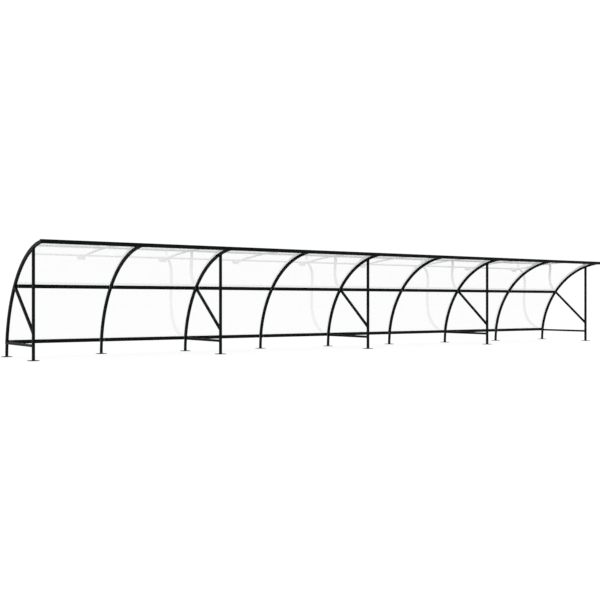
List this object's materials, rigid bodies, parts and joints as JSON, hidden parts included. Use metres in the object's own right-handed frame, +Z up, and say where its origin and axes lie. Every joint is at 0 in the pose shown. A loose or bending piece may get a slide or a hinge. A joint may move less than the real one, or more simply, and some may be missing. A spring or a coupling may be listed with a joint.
{
  "type": "bike shelter",
  "caption": "Long open bicycle shelter: curved tube hoops on foot plates, clear curved roof sheets, braced front posts and one beam.",
  "frame": {"origin": "bottom centre of the whole shelter, on the ground", "axes": "+X along the length, +Y from the open front to the closed rear, +Z up"},
  "size_m": [16.18, 2.18, 2.2304],
  "materials": {
    "painted_frame": "satin powder coat over galvanised steel",
    "clear_sheet": "clear, polished",
    "steel_screws": "zinc plated screws, added as fine detail",
    "rubber_seals": "matt black lips and washers, added as fine detail"
  },
  "bodies": {
    "root": {"hoop_1": "painted_frame", "hoop_2": "painted_frame", "hoop_3": "painted_frame", "hoop_4": "painted_frame", "hoop_5": "painted_frame", "hoop_6": "painted_frame", "hoop_7": "painted_frame", "hoop_8": "painted_frame", "hoop_9": "painted_frame", "post_1": "painted_frame", "post_2": "painted_frame", "post_3": "painted_frame", "post_4": "painted_frame", "post_5": "painted_frame", "brace_1": "painted_frame", "brace_2": "painted_frame", "brace_3": "painted_frame", "brace_4": "painted_frame", "brace_5": "painted_frame", "side_rail_1": "painted_frame", "side_rail_2": "painted_frame", "side_rail_3": "painted_frame", "side_rail_4": "painted_frame", "side_rail_5": "painted_frame", "front_beam_1": "painted_frame", "front_beam_2": "painted_frame", "front_beam_3": "painted_frame", "front_beam_4": "painted_frame", "beam_caps": "painted_frame", "mid_rail": "painted_frame", "lower_rail": "painted_frame", "roof_sheet_1": "clear_sheet", "roof_sheet_2": "clear_sheet", "roof_sheet_3": "clear_sheet", "roof_sheet_4": "clear_sheet", "roof_sheet_5": "clear_sheet", "roof_sheet_6": "clear_sheet", "roof_sheet_7": "clear_sheet", "roof_sheet_8": "clear_sheet", "sheet_strips": "painted_frame", "rear_plates": "painted_frame", "front_plates": "painted_frame"}
  },
  "joints": []
}
